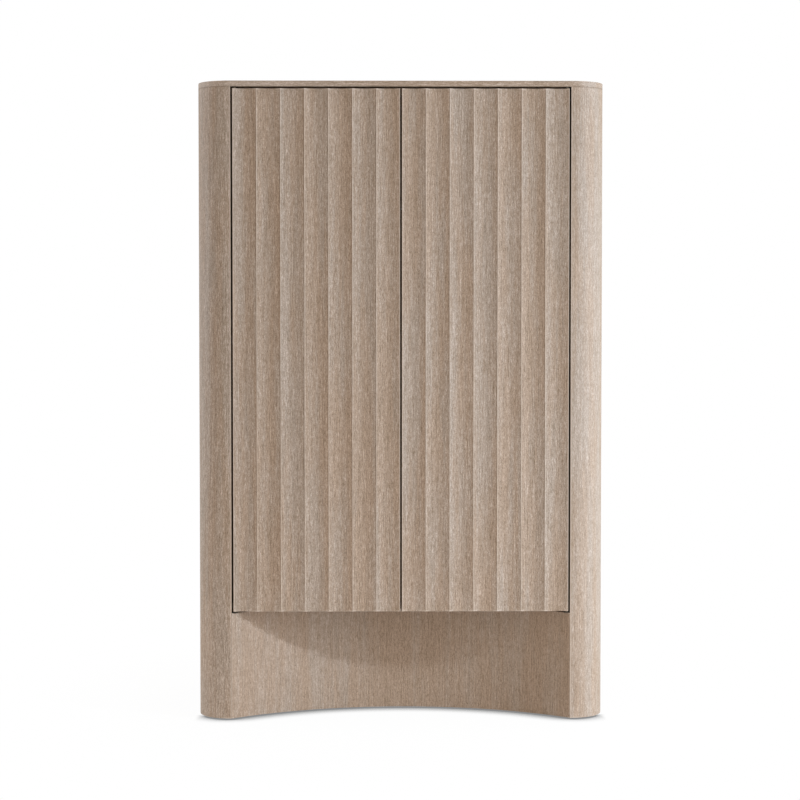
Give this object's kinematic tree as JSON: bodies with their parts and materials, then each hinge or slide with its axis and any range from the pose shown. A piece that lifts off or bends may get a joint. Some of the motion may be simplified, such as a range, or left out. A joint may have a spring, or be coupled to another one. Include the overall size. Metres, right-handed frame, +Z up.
{
  "type": "bar cabinet",
  "caption": "Tall bar cabinet with rounded front corners, fluted swing doors and a concave base; bottle rack, shelves and stemware rails inside.",
  "frame": {"origin": "on the floor, at the centre of the footprint", "axes": "+X to the right, +Y to the back, +Z up; the doors face -Y"},
  "size_m": [1.066, 0.508, 1.67],
  "materials": {
    "veneered_wood": "brushed straight-grained veneer with pale filled pores, low sheen",
    "inside_wood": "straight-grained veneer, satin lacquer",
    "core_wood": "planed, unfinished",
    "dark_bronze": "satin",
    "bush_bronze": "turned, darkened",
    "steel": "zinc plated",
    "clear_glass": "polished edges",
    "soft_rubber": "matte",
    "glide_nylon": "matte",
    "catch_plastic": "matte"
  },
  "bodies": {
    "cabinet": {"back_panel": "inside_wood", "back_panel_screws": "steel", "back_top_rail": "inside_wood", "base_back_rail": "core_wood", "base_corner_blocks": "core_wood", "base_front_panel": "veneered_wood", "base_ribs": "core_wood", "bottle_rail_1_back": "inside_wood", "bottle_rail_1_front": "inside_wood", "bottle_rail_2_back": "inside_wood", "bottle_rail_2_front": "inside_wood", "bottle_rail_3_back": "inside_wood", "bottle_rail_3_front": "inside_wood", "bottle_rail_4_back": "inside_wood", "bottle_rail_4_front": "inside_wood", "bracket_screws": "steel", "carcass_dowels": "core_wood", "catch_screws": "steel", "centre_partition": "inside_wood", "deck_panel": "inside_wood", "door_bumpers": "soft_rubber", "fixed_shelf": "inside_wood", "floor_glides": "glide_nylon", "glass_shelf": "clear_glass", "left_corner_post": "veneered_wood", "left_inner_side": "inside_wood", "left_lower_pivot_bracket": "dark_bronze", "left_magnetic_catch": "catch_plastic", "left_outer_side": "veneered_wood", "left_pivot_pins": "steel", "left_side_spacers": "core_wood", "left_upper_pivot_bracket": "dark_bronze", "lower_shelf": "inside_wood", "right_corner_post": "veneered_wood", "right_inner_side": "inside_wood", "right_lower_pivot_bracket": "dark_bronze", "right_magnetic_catch": "catch_plastic", "right_outer_side": "veneered_wood", "right_pivot_pins": "steel", "right_side_spacers": "core_wood", "right_upper_pivot_bracket": "dark_bronze", "shelf_pins": "steel", "stemware_rail_1": "inside_wood", "stemware_rail_2": "inside_wood", "stemware_rail_3": "inside_wood", "stemware_rail_4": "inside_wood", "stemware_rail_5": "inside_wood", "top_fixing_screws": "steel", "top_front_rail": "inside_wood", "top_panel": "veneered_wood"},
    "left_door": {"left_door_panel": "veneered_wood", "left_door_bushes": "bush_bronze", "left_strike_plate": "steel", "left_strike_screws": "steel"},
    "right_door": {"right_door_panel": "veneered_wood", "right_door_bushes": "bush_bronze", "right_strike_plate": "steel", "right_strike_screws": "steel"}
  },
  "joints": [
    {"name": "left_door_hinge", "type": "hinge", "parent": "cabinet", "child": "left_door", "pos_m": [-0.433, -0.2475, 0.283], "axis": [0, 0, -1], "range_deg": [0, 110]},
    {"name": "right_door_hinge", "type": "hinge", "parent": "cabinet", "child": "right_door", "pos_m": [0.433, -0.2475, 0.283], "axis": [0, 0, 1], "range_deg": [0, 110]}
  ]
}
